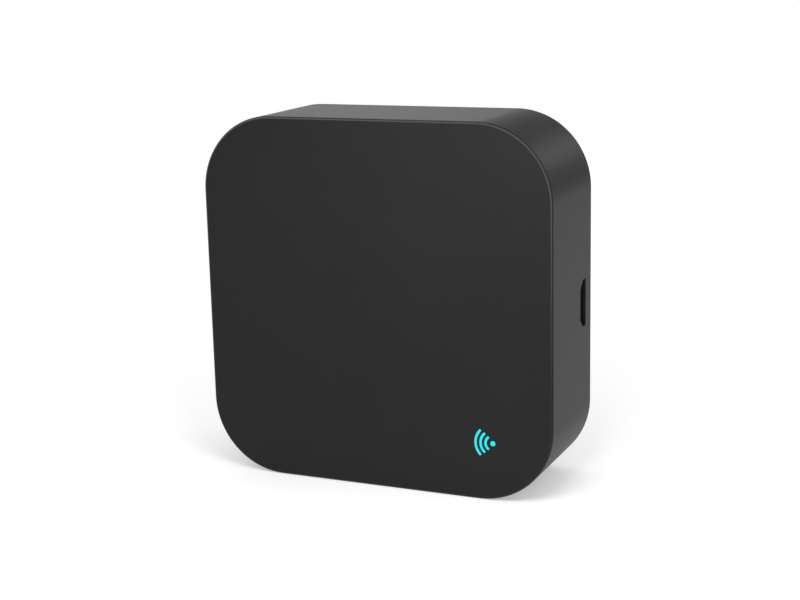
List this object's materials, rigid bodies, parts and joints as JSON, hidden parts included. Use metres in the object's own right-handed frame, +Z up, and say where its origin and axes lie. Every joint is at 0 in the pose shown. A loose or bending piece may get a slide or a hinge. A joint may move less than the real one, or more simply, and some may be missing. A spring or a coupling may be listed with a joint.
{
  "type": "infrared remote-control blaster",
  "caption": "Small upright square infrared blaster with round corners, a lit wireless symbol on its face, a power slot in its side and rubber feet and a reset button on its back.",
  "frame": {"origin": "centre of the flat lower side, midway between the face and the backs of the feet", "axes": "+Z up, the face looks towards -Y, +X to the right as seen from the front"},
  "size_m": [0.066, 0.0228, 0.066],
  "materials": {
    "shell_plastic": "satin moulded plastic with a very fine texture, dark grey-black, lets infrared through",
    "cover_plastic": "moulded plastic with a fine spark texture",
    "lit_acrylic": "clear acrylic lit cyan from behind",
    "sleeve_rubber": "soft dark sleeve",
    "foot_rubber": "soft rubber, matte",
    "button_plastic": "satin moulded plastic",
    "switch_plastic": "moulded switch plastic",
    "sheet_steel": "tinned sheet steel",
    "spring_steel": "polished spring steel",
    "board_mask": "green solder mask over copper tracks",
    "module_mask": "dark blue solder mask",
    "screw_steel": "zinc-plated steel",
    "solder": "bright solder",
    "gold_plate": "gold plating",
    "emitter_epoxy": "dark tinted clear epoxy",
    "receiver_epoxy": "black infrared-passing epoxy",
    "tinned_wire": "tinned wire",
    "status_lens": "clear lens over a white base",
    "socket_steel": "plated sheet steel",
    "socket_plastic": "black moulded insulator",
    "chip_epoxy": "moulded chip epoxy",
    "can_aluminium": "drawn aluminium can",
    "fuse_laminate": "green laminate",
    "resistor_glaze": "black glaze",
    "capacitor_ceramic": "fired ceramic"
  },
  "bodies": {
    "case": {"front_shell": "shell_plastic", "light_pipe": "lit_acrylic", "light_baffle": "sleeve_rubber", "back_cover": "cover_plastic", "rubber_foot_1": "foot_rubber", "rubber_foot_2": "foot_rubber", "rubber_foot_3": "foot_rubber", "rubber_foot_4": "foot_rubber", "switch_cover": "sheet_steel", "switch_dome": "spring_steel", "switch_base": "switch_plastic", "main_board": "board_mask", "board_screws": "screw_steel", "solder_joints": "solder", "test_pads": "gold_plate", "ir_led_1": "emitter_epoxy", "ir_led_2": "emitter_epoxy", "ir_led_3": "emitter_epoxy", "ir_led_4": "emitter_epoxy", "ir_led_5": "emitter_epoxy", "ir_led_6": "emitter_epoxy", "ir_led_7": "emitter_epoxy", "ir_led_leads": "tinned_wire", "ir_receiver": "receiver_epoxy", "ir_receiver_leads": "tinned_wire", "status_led": "status_lens", "wifi_board": "module_mask", "wifi_shield": "sheet_steel", "wifi_antenna": "gold_plate", "wifi_joints": "solder", "usb_shell": "socket_steel", "usb_tongue": "socket_plastic", "usb_contacts": "gold_plate", "regulator": "chip_epoxy", "regulator_leads": "tinned_wire", "capacitor_can": "can_aluminium", "capacitor_base": "socket_plastic", "diode": "chip_epoxy", "diode_leads": "tinned_wire", "fuse": "fuse_laminate", "transistors": "chip_epoxy", "transistor_leads": "tinned_wire", "chip_resistors": "resistor_glaze", "chip_capacitors": "capacitor_ceramic", "chip_terminals": "solder"},
    "reset_key": {"reset_button": "button_plastic", "switch_plunger": "switch_plastic"}
  },
  "joints": [
    {"name": "reset_press", "type": "slide", "parent": "case", "child": "reset_key", "axis": [0, -1, 0], "range_m": [0, 0.0003], "stiffness_N_per_m": 2500, "springref_m": -0.0002}
  ]
}
